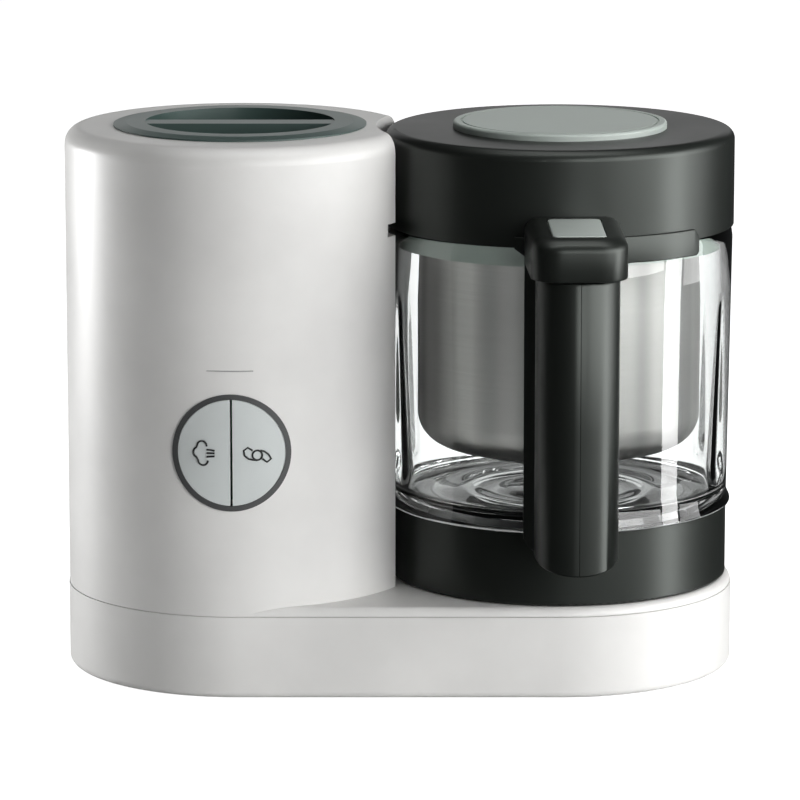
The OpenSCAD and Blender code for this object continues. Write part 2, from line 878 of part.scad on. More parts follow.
module blade_shaft() {
    low = blade_clutch_z + lug_h;
    color("silver") at_jug() translate([0, 0, low]) cylinder(r = shaft_r, h = glass_floor_top + 17 - low);
}

module blade_clutch() {
    color("dimgray") at_jug() rotate([0, 0, 90])
        dog_clutch(blade_clutch_z, -1, shaft_r);
}

module blades() {
    hub_z = glass_floor_top + 5.6;
    color("silver") at_jug() difference() {
        union() {
            translate([0, 0, hub_z]) cylinder(r1 = 9, r2 = 6.5, h = 9);
            for (i = [0 : 3]) {
                tilt = i % 2 == 0 ? 10 : -4;
                rotate([0, 0, 90 * i + 20]) translate([0, 0, hub_z + 4]) rotate([0, -tilt, 0])
                    linear_extrude(1.2) polygon([[0, -6], [20, -6], [33, 2], [31, 4], [18, 6], [0, 6]]);
            }
        }
        translate([0, 0, hub_z - 10]) cylinder(r = shaft_r + 0.02, h = 40);
    }
}

// ---------------------------------------------------------------- handle

// Outline of the grip seen from above: flat back, round front, centred on x = 0.
module grip_outline(inset = 0) {
    half = grip_w / 2 - inset;
    depth = grip_d - inset;
    side = max(depth - half, 1);
    translate([-half, -grip_back - side]) square([2 * half, side]);
    intersection() {
        translate([0, -grip_back - side]) circle(half);
        translate([-half, -grip_back - side - half]) square([2 * half, half + 0.01]);
    }
}

// The block's own shape: a rounded slab from the strap to the grip's front.
module block_body() {
    round = 6;
    intersection() {
        translate([0, 0, block_z]) linear_extrude(block_h) difference() {
            union() {
                translate([-block_w / 2, -grip_front + 12]) square([block_w, grip_front - 12]);
                translate([-block_w / 2 + 12, -grip_front]) square([block_w - 24, 13]);
                for (s = [-1, 1]) {
                    translate([s * (block_w / 2 - 12), -grip_front + 12]) circle(12);
                }
            }
            circle(strap_in);
        }
        translate([-block_w / 2 - 1, 0, 0]) rotate([90, 0, 90]) linear_extrude(block_w + 2) union() {
            translate([-grip_front - 1, block_z - 1]) square([grip_front - 60, block_h + 1 - round - 2.5]);
            polygon([
                [-grip_front + round, block_z], [-grip_front + round, block_top - 2.6],
                [-strap_in, block_top], [-60, block_top], [-60, block_z]
            ]);
            translate([-grip_front + round, block_top - round - 2.6]) circle(round);
        }
    }
}

// The strap that lies along the glass.
module strap() {
    corner = 8;
    intersection() {
        pipe(strap_out, strap_in, strap_low, block_z + 1);
        rotate([90, 0, 0]) linear_extrude(strap_out + 5) {
            translate([-block_w / 2, strap_low + corner]) square([block_w, block_z - strap_low]);
            translate([-block_w / 2 + corner, strap_low]) square([block_w - 2 * corner, corner + 2]);
            for (s = [-1, 1]) {
                translate([s * (block_w / 2 - corner), strap_low + corner]) circle(corner);
            }
        }
    }
}

module handle_frame() {
    color("dimgray") at_handle() difference() {
        union() {
            block_body();
            strap();
            intersection() {
                translate([-grip_w / 2 + 2.4, -grip_front + 3.4, block_z - handle_floor_t])
                    cube([grip_w - 4.8, grip_front - strap_in - 4.2, handle_floor_t + 1]);
                translate([0, 0, block_z - handle_floor_t - 1]) linear_extrude(20) {
                    grip_outline(2.6);
                    translate([-grip_w / 2, -grip_back - 1]) square([grip_w, grip_back - strap_in - 0.4]);
                }
            }
            intersection() {
                pipe(strap_in + 1, collar_r + 0.02, collar_top - 9, strap_low + 2);
                translate([-12, -strap_out - 2, 0]) cube([24, 30, 200]);
            }
            intersection() {
                pipe(strap_out - 0.2, strap_in, collar_top - 9, strap_low + 2);
                translate([-12, -strap_out - 2, 0]) cube([24, 30, 200]);
            }
        }
        translate([-button_w / 2 - slide_gap, -button_front - slide_gap, block_top - button_well])
            cube([button_w + 2 * slide_gap, button_front - button_back + 2 * slide_gap, 20]);
        translate([-latch_w / 2 - slide_gap, -button_front + 6, latch_z - slide_gap])
            cube([latch_w + 2 * slide_gap, button_front - 6, latch_h + 2 * slide_gap]);
        translate([-latch_w / 2 - slide_gap, -button_front + 6, latch_z - slide_gap])
            cube([latch_w + 2 * slide_gap, 12, block_h]);
    }
}

module handle_inner_shell() {
    wall = 2.2;
    color("dimgray") at_handle() difference() {
        intersection() {
            translate([0, 0, grip_low + 8]) linear_extrude(block_z - 0.4 - grip_low - 8) grip_outline(0.4);
            translate([-50, -grip_back - wall, 0]) cube([100, wall, 400]);
        }
        for (z = [grip_low + 25, block_z - 25]) {
            translate([0, -grip_back + 1, z]) rotate([90, 0, 0]) cylinder(r = screw_r + 0.1, h = 10);
        }
        translate([-grip_w / 2, -grip_front, block_z - handle_floor_t - 0.1]) cube([grip_w, grip_d, 20]);
    }
}

module handle_outer_shell() {
    wall = 2.4;
    top = block_z - 0.4;
    front_round = 9;
    color("dimgray") at_handle() difference() {
        intersection() {
            translate([0, 0, grip_low]) linear_extrude(top - grip_low) difference() {
                grip_outline();
                translate([-grip_w / 2 - 1, -grip_back - 2.25]) square([grip_w + 2, 10]);
            }
            translate([-grip_w, 0, 0]) rotate([90, 0, 90]) linear_extrude(2 * grip_w) {
                translate([-grip_front - 1, grip_low + front_round]) square([grip_d + 2, top - grip_low]);
                translate([-grip_front + front_round, grip_low]) square([grip_d, top - grip_low]);
                translate([-grip_front + front_round, grip_low + front_round]) circle(front_round);
            }
        }
        translate([0, 0, grip_low + front_round]) linear_extrude(top) grip_outline(wall);
    }
}

module handle_screws() {
    color("silver") at_handle() for (z = [grip_low + 25, block_z - 25]) {
        translate([0, -grip_back, z]) rotate([90, 0, 0]) {
            translate([0, 0, -1.2]) cylinder(r = 2.8, h = 1.18);
            translate([0, 0, -0.1]) cylinder(r = screw_r, h = 9);
        }
    }
}

module release_button() {
    front_low = block_top - button_well + release_travel + 0.3;
    color("darkseagreen") at_handle() translate([-button_w / 2, 0, 0])
        rotate([90, 0, 90]) linear_extrude(button_w) polygon([
            [-button_front, front_low], [-button_front, block_top - 2],
            [-button_back, block_top + 0.3], [-button_back, block_top - button_t],
            [-button_front + 14, block_top - button_t - 0.6]
        ]);
}

module release_spring() {
    floor_z = block_top - button_well;
    color("silver") at_handle() translate([0, -button_back - 7, floor_z + 0.05])
        coil(2.4, 0.3, button_spring_room(), 3);
}

// Free height under the release button, at its back end.
function button_spring_room() = button_well - button_t - 0.7;

module lid_latch() {
    color("dimgray") at_handle() {
        translate([-latch_w / 2, -button_front + 10, latch_z])
            cube([latch_w, button_front - 10 - strap_in - 0.4, latch_h]);
    }
}

// ---------------------------------------------------------------- basket and lid

module steam_basket() {
    corner = 15;
    color("silver") at_jug() difference() {
        rotate_extrude() difference() {
            union() {
                rounded_half(basket_r, basket_z, rim_z + 8, 0, corner);
                translate([0, rim_z]) square([rim_r - 1.6, basket_wall]);
            }
            rounded_half(basket_r - basket_wall, basket_z + basket_wall, rim_z + 20, 0,
                corner - basket_wall);
        }
        for (ring = [0 : 3], i = [0 : 5 + 6 * ring]) {
            rotate([0, 0, 360 * i / (6 + 6 * ring)]) translate([8 + 10 * ring, 0, basket_z - 1])
                cylinder(r = 1.6, h = basket_wall + 2, $fn = 24);
        }
    }
}

module basket_rim() {
    color("lightgray") at_jug() difference() {
        pipe(rim_r, basket_r + 0.05, rim_z, rim_z + 8.2);
        pipe(rim_r - 1.55, basket_r - 1, rim_z - 0.1, rim_z + basket_wall + 0.05);
    }
}

module lid_seal() {
    color("white") at_jug()
        pipe(spigot_r + 1.8, spigot_r - 2 + slide_gap, lid_z - 0.2, lid_z + 3);
}

module lid_shell() {
    color("dimgray") at_jug() difference() {
        rotate_extrude() difference() {
            rounded_half(lid_r, lid_z, lid_top, 4.5, 0);
            translate([-1, lid_z - 1]) square([lid_r - lid_wall + 1, lid_h - 7]);
            translate([-1, lid_z + lid_h - 9]) square([lid_r - 9, 9 - lid_wall]);
            translate([-1, lid_top - 1.2]) square([lid_disc_r + 0.15 + 1, 5]);
        }
        translate([-lid_r - 5, 0, port_z]) rotate([0, 90, 0]) cylinder(r = 4, h = 12);
    }
    color("dimgray") at_jug() rotate_extrude() {
        translate([spigot_r - 2, lid_z + 3.3]) square([2, lid_h - 6]);
    }
}

module lid_skirt() {
    color("dimgray") at_jug() rotate([0, 0, skirt_from - 90]) {
        rotate_extrude(angle = skirt_to - skirt_from)
            translate([lid_r, skirt_low]) square([skirt_r - lid_r, skirt_high - skirt_low]);
    }
}

module lid_disc() {
    color("darkseagreen") at_jug() rotate_extrude() difference() {
        rounded_half(lid_disc_r, lid_top - 1.2, lid_top + 3, 1.2, 0);
        translate([lid_disc_r - 4.2, lid_top + 2.4]) square([0.9, 2]);
    }
}

base_housing();
bottom_plate();
foot_pads();
base_screws();
mains_inlet_bush();
terminal_block();
tower_shell();
control_ring();
steam_button();
blend_button();
steam_button_spring();
blend_button_spring();
control_board();
board_switches();
lid_safety_switch();
motor_mount();
motor_can();
motor_armature();
motor_shaft();
motor_pulley();
cooling_fan();
drive_belt();
drive_pulley();
bearing_carrier();
drive_bushes();
drive_shaft();
drive_clutch();
water_tank();
tank_gasket();
heating_plate();
heating_element();
thermostat();
tank_cradle();
steam_pipe();
steam_nozzle();
tank_cap_seal();
tank_cap();
cap_relief_valve();
jug_foot_ring();
jug_collar();
jug_glass();
jug_seal();
blade_bearing();
blade_shaft();
blade_clutch();
blades();
handle_frame();
handle_inner_shell();
handle_outer_shell();
handle_screws();
release_button();
release_spring();
lid_latch();
steam_basket();
basket_rim();
lid_seal();
lid_shell();
lid_skirt();
lid_disc();
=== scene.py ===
"""Baby food maker: a round steam tower and a lidded glass blender jug on one round-ended base.

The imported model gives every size, place and joint, in metres. The tower stands on its own upright
axis at the left, the jug on its axis at the right, and the front with the buttons faces -Y.
"""
import math

import bmesh
import bpy
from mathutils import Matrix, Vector


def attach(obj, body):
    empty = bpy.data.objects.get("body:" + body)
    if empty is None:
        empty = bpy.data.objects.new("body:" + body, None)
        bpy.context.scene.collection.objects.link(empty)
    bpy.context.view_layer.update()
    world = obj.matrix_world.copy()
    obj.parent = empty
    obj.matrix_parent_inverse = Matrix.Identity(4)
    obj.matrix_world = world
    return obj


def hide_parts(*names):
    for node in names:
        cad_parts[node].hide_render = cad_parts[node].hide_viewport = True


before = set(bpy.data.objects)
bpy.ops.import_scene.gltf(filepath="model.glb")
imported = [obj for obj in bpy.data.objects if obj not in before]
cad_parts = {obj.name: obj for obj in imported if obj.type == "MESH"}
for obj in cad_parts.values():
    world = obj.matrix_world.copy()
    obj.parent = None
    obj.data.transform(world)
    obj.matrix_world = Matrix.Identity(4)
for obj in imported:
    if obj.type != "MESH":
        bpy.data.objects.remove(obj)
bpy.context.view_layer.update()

# ------------------------------------------------------------------ the table and the studio
# The appliance stands on a white table in a dim room. A large soft box to the right of the front
# shapes the white wall, weaker ones stand left, right, above and behind, and three narrow strips
# only make the long highlights on the dark plastic.


def softbox(name, place, look, width, height, power):
    """Rectangular studio light that faces a point."""
    lamp = bpy.data.lights.new(name, "AREA")
    lamp.shape = "RECTANGLE"
    lamp.size = width
    lamp.size_y = height
    lamp.energy = power
    stand = bpy.data.objects.new(name, lamp)
    bpy.context.scene.collection.objects.link(stand)
    stand.location = place
    stand.rotation_euler = (Vector(look) - Vector(place)).to_track_quat("-Z", "Y").to_euler()
    return stand


# metres and radians
EYE_PLACE = (0, -2.162, 0.544)
EYE_TILT = math.pi / 2 - 0.195
EYE_LENS = 223.56
FILM_WIDTH = 36
eye = bpy.data.objects.new("eye", bpy.data.cameras.new("eye"))
bpy.context.scene.collection.objects.link(eye)
eye.location = EYE_PLACE
eye.rotation_euler = (EYE_TILT, 0, 0)
eye.data.lens = EYE_LENS
eye.data.sensor_width = FILM_WIDTH
bpy.context.scene.camera = eye
bpy.context.scene.view_settings.view_transform = "Standard"

# name, place, aimed at, width and height in metres, power in watts
for lamp_row in (
        ("key_softbox", (1.3, -1.06, 0.55), (0.02, 0, 0.12), 1.3, 1.1, 30),
        ("right_strip", (1.5, 0.15, 0.4), (0.07, 0, 0.12), 0.5, 0.9, 6),
        ("left_strip", (-1.40, 0.60, 0.08), (-0.07, 0, 0.12), 0.4, 0.34, 26),
        ("top_softbox", (0.1, 0.1, 1.5), (0, 0, 0.1), 1.0, 0.8, 5.5),
        ("back_softbox", (0, 1.9, 0.65), (0, 0, 0.2), 1.6, 0.5, 2),
        ("front_fill", (0.3, -2.45, 0.9), (0, 0, 0.1), 0.6, 0.7, 1.9)):
    softbox(*lamp_row)
GLOSS_AIM = (0.07, 0, 0.14)
for strip_name, place, width, height, power in (
        ("right_gloss", (1.46, -0.3, 0.13), 0.34, 1.2, 16),
        ("front_gloss", (0.62, -2.34, 0.6), 0.4, 1.0, 16),
        ("top_gloss", (0.1, -0.42, 1.4), 1.5, 0.22, 6)):
    gloss_strip = softbox(strip_name, place, GLOSS_AIM, width, height, power)
    gloss_strip.visible_diffuse = False
    gloss_strip.visible_transmission = False

ROOM_LIGHT = 0.03
TABLE_GLOW = 0.95
room = bpy.data.worlds.new("room")
bpy.context.scene.world = room
room.use_nodes = True
room_nodes, room_links = room.node_tree.nodes, room.node_tree.links


def straight_view(tree):
    """1 for what is seen directly or through glass, 0 for light that has already bounced."""
    seen = tree.nodes.new("ShaderNodeLightPath")
    steps = [tree.nodes.new("ShaderNodeMath") for _ in range(4)]
    steps[0].operation = "MAXIMUM"
    tree.links.new(seen.outputs["Is Camera Ray"], steps[0].inputs[0])
    tree.links.new(seen.outputs["Is Transmission Ray"], steps[0].inputs[1])
    steps[1].operation = "ADD"
    tree.links.new(seen.outputs["Glossy Depth"], steps[1].inputs[0])
    tree.links.new(seen.outputs["Diffuse Depth"], steps[1].inputs[1])
    steps[2].operation = "LESS_THAN"
    tree.links.new(steps[1].outputs[0], steps[2].inputs[0])
    steps[2].inputs[1].default_value = 0.5
    steps[3].operation = "MULTIPLY"
    tree.links.new(steps[0].outputs[0], steps[3].inputs[0])
    tree.links.new(steps[2].outputs[0], steps[3].inputs[1])
    return steps[3].outputs[0]


bright = room_nodes.new("ShaderNodeBackground")
bright.inputs["Color"].default_value = (1, 1, 1, 1)
bright.inputs["Strength"].default_value = 1.0
room_nodes["Background"].inputs["Color"].default_value = (0.95, 0.98, 1, 1)
room_nodes["Background"].inputs["Strength"].default_value = ROOM_LIGHT
backdrop = room_nodes.new("ShaderNodeMixShader")
room_links.new(straight_view(room.node_tree), backdrop.inputs[0])
room_links.new(room_nodes["Background"].outputs[0], backdrop.inputs[1])
room_links.new(bright.outputs[0], backdrop.inputs[2])
room_links.new(backdrop.outputs[0], room_nodes["World Output"].inputs["Surface"])

table_mesh = bpy.data.meshes.new("table_top")
table_mesh.from_pydata([(-6, -5, 0), (6, -5, 0), (6, 9, 0), (-6, 9, 0)], [], [(0, 1, 2, 3)])
table_top = bpy.data.objects.new("table_top", table_mesh)
bpy.context.scene.collection.objects.link(table_top)
white_table = bpy.data.materials.new("white_table")
white_table.use_nodes = True
table_skin = white_table.node_tree.nodes["Principled BSDF"]
table_skin.inputs["Base Color"].default_value = (0.8, 0.8, 0.8, 1)
table_skin.inputs["Roughness"].default_value = 0.9
table_skin.inputs["Emission Color"].default_value = (1, 1, 1, 1)
lift = white_table.node_tree.nodes.new("ShaderNodeMath")
lift.operation = "MULTIPLY"
lift.inputs[1].default_value = TABLE_GLOW
white_table.node_tree.links.new(straight_view(white_table.node_tree), lift.inputs[0])
white_table.node_tree.links.new(lift.outputs[0], table_skin.inputs["Emission Strength"])
table_mesh.materials.append(white_table)
table_top.visible_glossy = False

# ------------------------------------------------------------------ base housing and bottom plate
# The base is a band of warm white ABS with rounded ends, moulded with a fine spark-eroded grain.
# The bottom plate closes it from below on six screws, and soft rubber feet stand in its pockets.

GRAIN_DEPTH = 0.00003
CLOUD_SCALE = 22
MOTTLE = 0.05
GLOSS_SPREAD = 0.05


def moulded(name, colour, rough, grain=0.25, grain_size=0.5, coat=0.0):
    """Moulded plastic: slightly uneven colour and gloss, and a fine grain left by the tool."""
    finish = bpy.data.materials.new(name)
    finish.use_nodes = True
    nodes, links = finish.node_tree.nodes, finish.node_tree.links
    skin = nodes["Principled BSDF"]
    place = nodes.new("ShaderNodeTexCoord")
    cloud = nodes.new("ShaderNodeTexNoise")
    cloud.inputs["Scale"].default_value = CLOUD_SCALE
    cloud.inputs["Detail"].default_value = 4
    links.new(place.outputs["Object"], cloud.inputs["Vector"])
    tint = nodes.new("ShaderNodeValToRGB")
    tint.color_ramp.elements[0].position = 0.3
    tint.color_ramp.elements[1].position = 0.7
    tint.color_ramp.elements[0].color = [c * (1 - MOTTLE) for c in colour] + [1]
    tint.color_ramp.elements[1].color = [min(c * (1 + MOTTLE), 1) for c in colour] + [1]
    links.new(cloud.outputs["Fac"], tint.inputs["Fac"])
    links.new(tint.outputs["Color"], skin.inputs["Base Color"])
    gloss = nodes.new("ShaderNodeMapRange")
    gloss.inputs["To Min"].default_value = rough - GLOSS_SPREAD
    gloss.inputs["To Max"].default_value = rough + GLOSS_SPREAD
    links.new(cloud.outputs["Fac"], gloss.inputs["Value"])
    links.new(gloss.outputs["Result"], skin.inputs["Roughness"])
    pits = nodes.new("ShaderNodeTexNoise")
    pits.inputs["Scale"].default_value = 1000 / grain_size
    pits.inputs["Detail"].default_value = 2
    links.new(place.outputs["Object"], pits.inputs["Vector"])
    relief = nodes.new("ShaderNodeBump")
    relief.inputs["Strength"].default_value = grain
    relief.inputs["Distance"].default_value = GRAIN_DEPTH
    links.new(pits.outputs["Fac"], relief.inputs["Height"])
    links.new(relief.outputs["Normal"], skin.inputs["Normal"])
    skin.inputs["Coat Weight"].default_value = coat
    skin.inputs["Coat Roughness"].default_value = 0.15
    return finish


def dress(finish, *nodes):
    """Gives a finish to modelled parts that keep their own shape."""
    for node in nodes:
        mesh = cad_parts[node].data
        mesh.materials.clear()
        mesh.materials.append(finish)


warm_white = moulded("warm_white_abs", (0.74, 0.735, 0.72), 0.42)
foot_rubber = moulded("foot_rubber", (0.035, 0.035, 0.036), 0.75, grain=0.5, grain_size=0.8)
dress(warm_white, "base_housing", "bottom_plate", "tower_shell")
dress(foot_rubber, "foot_pads", "mains_inlet_bush")

# ------------------------------------------------------------------ screws, shafts and springs
# Turned and plated steel, with fine lathe rings round the shafts and the same bright plating on
# the screws and springs.

LINE_DEPTH = 0.00002
LINE_SPACING = (40, 40, 2600)


def machined(name, colour, rough, line=0.3):
    """Machined metal with faint tool lines round the upright axis and rubbed patches."""
    finish = bpy.data.materials.new(name)
    finish.use_nodes = True
    nodes, links = finish.node_tree.nodes, finish.node_tree.links
    skin = nodes["Principled BSDF"]
    skin.inputs["Metallic"].default_value = 1
    place = nodes.new("ShaderNodeTexCoord")
    squeeze = nodes.new("ShaderNodeMapping")
    squeeze.inputs["Scale"].default_value = LINE_SPACING
    links.new(place.outputs["Object"], squeeze.inputs["Vector"])
    lines = nodes.new("ShaderNodeTexNoise")
    lines.inputs["Scale"].default_value = 1
    lines.inputs["Detail"].default_value = 3
    links.new(squeeze.outputs["Vector"], lines.inputs["Vector"])
    tint = nodes.new("ShaderNodeValToRGB")
    tint.color_ramp.elements[0].color = [c * 0.88 for c in colour] + [1]
    tint.color_ramp.elements[1].color = [min(c * 1.08, 1) for c in colour] + [1]
    links.new(lines.outputs["Fac"], tint.inputs["Fac"])
    links.new(tint.outputs["Color"], skin.inputs["Base Color"])
    gloss = nodes.new("ShaderNodeMapRange")
    gloss.inputs["To Min"].default_value = rough - 0.08
    gloss.inputs["To Max"].default_value = rough + 0.08
    links.new(lines.outputs["Fac"], gloss.inputs["Value"])
    links.new(gloss.outputs["Result"], skin.inputs["Roughness"])
    relief = nodes.new("ShaderNodeBump")
    relief.inputs["Strength"].default_value = line
    relief.inputs["Distance"].default_value = LINE_DEPTH
    links.new(lines.outputs["Fac"], relief.inputs["Height"])
    links.new(relief.outputs["Normal"], skin.inputs["Normal"])
    return finish


bright_steel = machined("bright_steel", (0.62, 0.61, 0.59), 0.24)
dress(bright_steel, "base_screws", "steam_button_spring", "blend_button_spring", "release_spring",
      "handle_screws", "motor_shaft", "drive_shaft", "blade_shaft", "blade_bearing")

# ------------------------------------------------------------------ motor, belt and bearings
# A canned motor with a wound armature turns a small toothed pulley. A toothed rubber belt takes
# the drive to a pulley twice as large, on a shaft that runs in two bronze bushes under the jug.

motor_steel = machined("zinc_plated_can", (0.50, 0.50, 0.49), 0.36)
copper = machined("enamelled_copper", (0.62, 0.27, 0.12), 0.30)
sintered_bronze = machined("sintered_bronze", (0.55, 0.38, 0.18), 0.45)
cast_alloy = machined("cast_alloy", (0.56, 0.56, 0.55), 0.48, line=0.1)
black_nylon = moulded("black_nylon", (0.022, 0.022, 0.023), 0.5)
belt_rubber = moulded("belt_rubber", (0.028, 0.028, 0.028), 0.8, grain=0.6, grain_size=0.9)
dress(motor_steel, "motor_can", "motor_mount", "tank_cradle", "motor_pulley", "drive_pulley")
dress(copper, "motor_armature")
dress(sintered_bronze, "drive_bushes")
dress(cast_alloy, "bearing_carrier", "heating_plate")
dress(black_nylon, "cooling_fan", "drive_clutch", "blade_clutch", "board_switches",
      "lid_safety_switch", "jug_foot_ring", "cap_relief_valve")
dress(belt_rubber, "drive_belt")

# ------------------------------------------------------------------ tank, heater and steam line
# A smoke-clear polycarbonate tank clamps on a heated plate, with a red silicone gasket between
# them. The element and its thermostat sit under the plate, and a silicone pipe takes the steam.

tank_plastic = moulded("frosted_tank", (0.55, 0.62, 0.66), 0.35, grain=0.1)
red_silicone = moulded("red_silicone", (0.42, 0.07, 0.05), 0.55, grain=0.3)
ivory_ceramic = moulded("ivory_ceramic", (0.70, 0.66, 0.55), 0.4)
board_lacquer = moulded("board_lacquer", (0.02, 0.12, 0.05), 0.3, coat=0.6)
element_sheath = machined("element_sheath", (0.30, 0.29, 0.28), 0.42)
dress(tank_plastic, "water_tank")
dress(red_silicone, "tank_gasket", "steam_pipe")
dress(ivory_ceramic, "thermostat", "terminal_block")
dress(board_lacquer, "control_board")
dress(element_sheath, "heating_element")
dress(black_nylon, "steam_nozzle")

# ------------------------------------------------------------------ control ring and two buttons
# A grey ring frames two half-round keys with a narrow black gap between them. The keys are pale
# grey-green and carry thin printed signs: a puff of steam, and a two-winged blade. A short fine
# grey line laid on the tower wall above them is painted shade standing in for an engraved groove.

ring_grey = moulded("ring_grey", (0.062, 0.064, 0.065), 0.45)
key_plastic = moulded("key_plastic", (0.60, 0.635, 0.63), 0.38, grain=0.15)
sign_ink = moulded("sign_ink", (0.006, 0.007, 0.007), 0.5, grain=0.05)
dress(ring_grey, "control_ring")
dress(key_plastic, "steam_button", "blend_button")

MM = 0.001
TOWER_X = -70.2
PANEL_TURN = math.radians(-1.6)
RING_Z = 109
KEY_R = 77.25
WALL_LINE_R = 76.85
WALL_LINE_UP = 35.7
SIGN_THICK = 0.42
WALL_LINE_THICK = 0.3


def on_key(x, z, r=KEY_R):
    """Place on the curved key face or wall, x to the right and z up from the ring's centre."""
    y = -math.sqrt(r ** 2 - x * x)
    turned_x = x * math.cos(PANEL_TURN) - y * math.sin(PANEL_TURN)
    turned_y = x * math.sin(PANEL_TURN) + y * math.cos(PANEL_TURN)
    return Vector(((TOWER_X + turned_x) * MM, turned_y * MM, (RING_Z + z) * MM))


def arc(cx, cz, r, start, end, count=6):
    """Outline points along an arc, in degrees."""
    return [(cx + r * math.cos(math.radians(start + (end - start) * i / count)),
             cz + r * math.sin(math.radians(start + (end - start) * i / count)))
            for i in range(count + 1)]


def printed_sign(name, strokes, body, closed=(), r=KEY_R, thick=SIGN_THICK, finish=sign_ink):
    """Thin lines laid on a key or on the tower wall."""
    line = bpy.data.curves.new(name, "CURVE")
    line.dimensions = "3D"
    line.bevel_depth = thick * MM
    line.bevel_resolution = 2
    for number, stroke in enumerate(strokes):
        run = line.splines.new("POLY")
        run.points.add(len(stroke) - 1)
        for point, (x, z) in zip(run.points, stroke):
            point.co = (*on_key(x, z, r), 1)
        run.use_cyclic_u = number in closed
    sign = bpy.data.objects.new(name, line)
    bpy.context.scene.collection.objects.link(sign)
    line.materials.append(finish)
    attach(sign, body)


puff = (arc(-12.6, 3.1, 2.0, -10, 175, 14) + arc(-14.1, 0.1, 2.25, 115, 245, 14)
        + arc(-12.15, -3.4, 2.1, 180, 360, 14))
jets = [[(-10.6, 1.3), (-8.8, 1.25), (-7.1, 0.9)], [(-10.6, -0.2), (-7.1, -0.2)],
        [(-10.6, -1.8), (-8.8, -1.6), (-7.1, -1.5)]]
printed_sign("steam_sign", [puff] + jets, "steam_button")
left_wing = [(9.1, 1.1), (7.15, 2.4), (5.4, 1.1), (5.8, -1.2), (7.4, -2.5), (9.1, -2.95),
             (11.1, -3.2)]
right_wing = [(12.4, 1.1), (14.2, 0.6), (15.9, -0.7), (17.1, -2.7), (15.3, -4.1), (13.3, -2.5)]
hub = arc(11.2, -1.0, 2.1, 0, 360, 24)[:-1]
printed_sign("blade_sign", [hub, left_wing, right_wing], "blend_button", closed=(0,))
# Painted shade: a darker grey line laid on the wall stands for the shade inside an engraved groove.
groove_shade_grey = moulded("painted_groove_shade_grey", (0.36, 0.36, 0.355), 0.5, grain=0.1)
printed_sign("painted_groove_shade_line", [[(x, WALL_LINE_UP) for x in (-10.4, -5, 0, 5, 9.6)]], "base",
             r=WALL_LINE_R, thick=WALL_LINE_THICK, finish=groove_shade_grey)

# ------------------------------------------------------------------ tank cap
# A sage cap closes the filling neck. A grip bar crosses its round pocket, and a soft white seal
# sits in a groove round its plug.

cap_green = moulded("cap_green", (0.055, 0.092, 0.083), 0.34, grain=0.15)
white_silicone = moulded("white_silicone", (0.72, 0.72, 0.70), 0.5, grain=0.2)
dress(cap_green, "tank_cap")
dress(white_silicone, "tank_cap_seal", "lid_seal")

# ------------------------------------------------------------------ jug collar
# A charcoal collar carries the glass and the blade bearing. Its foot stands in the deck's turret.

charcoal = moulded("charcoal_abs", (0.009, 0.0106, 0.0093), 0.38, grain=0.3)
charcoal_skin = charcoal.node_tree.nodes["Principled BSDF"]
charcoal_skin.inputs["Specular IOR Level"].default_value = 0.4
charcoal_skin.inputs["Specular Tint"].default_value = (0.93, 1, 0.94, 1)
black_seal = moulded("black_seal", (0.012, 0.012, 0.012), 0.5)
dress(charcoal, "jug_collar")
dress(black_seal, "jug_seal")

# ------------------------------------------------------------------ jug glass
# Heavy pressed glass, wider at the mouth, with a rounded foot lip that sits on the collar and a
# thick floor with pressed rings. Six pointed ribs run up the inside of the wall to stir the food.

JUG_X = 70.2


def turned(outline, axis_x, steps=192, reach=None):
    """Points and faces of a closed (radius, height) outline turned about an upright axis."""
    points, rings, faces = [], [], []
    for r, z in outline:
        if r < 0.001:
            rings.append([len(points)])
            points.append((axis_x, 0, z))
            continue
        ring = []
        for step in range(steps):
            a = 2 * math.pi * step / steps
            q = r if reach is None else reach(r, z, a)
            ring.append(len(points))
            points.append((axis_x + q * math.cos(a), q * math.sin(a), z))
        rings.append(ring)
    for here, there in zip(rings, rings[1:] + rings[:1]):
        for step in range(steps):
            corners = [here[step % len(here)], here[(step + 1) % len(here)],
                       there[(step + 1) % len(there)], there[step % len(there)]]
            corners = list(dict.fromkeys(corners))
            if len(corners) > 2:
                faces.append(corners)
    return points, faces


def piece(name, shape, finish, body, sharp=35):
    """One solid piece from points in millimetres, smooth apart from its sharp edges."""
    points, faces = shape
    mesh = bpy.data.meshes.new(name)
    mesh.from_pydata([(x * MM, y * MM, z * MM) for x, y, z in points], [], faces)
    build = bmesh.new()
    build.from_mesh(mesh)
    bmesh.ops.remove_doubles(build, verts=build.verts, dist=1e-7)
    bmesh.ops.recalc_face_normals(build, faces=build.faces)
    build.to_mesh(mesh)
    build.free()
    mesh.shade_smooth()
    mesh.set_sharp_from_angle(angle=math.radians(sharp))
    mesh.materials.append(finish)
    made = bpy.data.objects.new(name, mesh)
    bpy.context.scene.collection.objects.link(made)
    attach(made, body)
    return made


GLASS_LOW = 70.1
FLOOR_TOP = 77.85
RIBS = (20, 92, 160, 198, 268, 340)
RIB_LOW = 84.2
RIB_HIGH = 166
RIB_DEPTH = 2.6


def ribbed(r, z, a):
    """Radius of the inner wall, pushed inwards along upright ribs that run out to a point."""
    if r > 73.4 or z < RIB_LOW or z > RIB_HIGH or r < 66:
        return r
    height = (RIB_HIGH - z) / 82
    width = 1.6 + 3.6 * height
    push = 0
    for rib in RIBS:
        apart = abs((math.degrees(a) - rib + 180) % 360 - 180)
        push += math.exp(-(apart / width) ** 2) * RIB_DEPTH * height ** 0.7
    return r - push * min((z - RIB_LOW) / 6, 1)


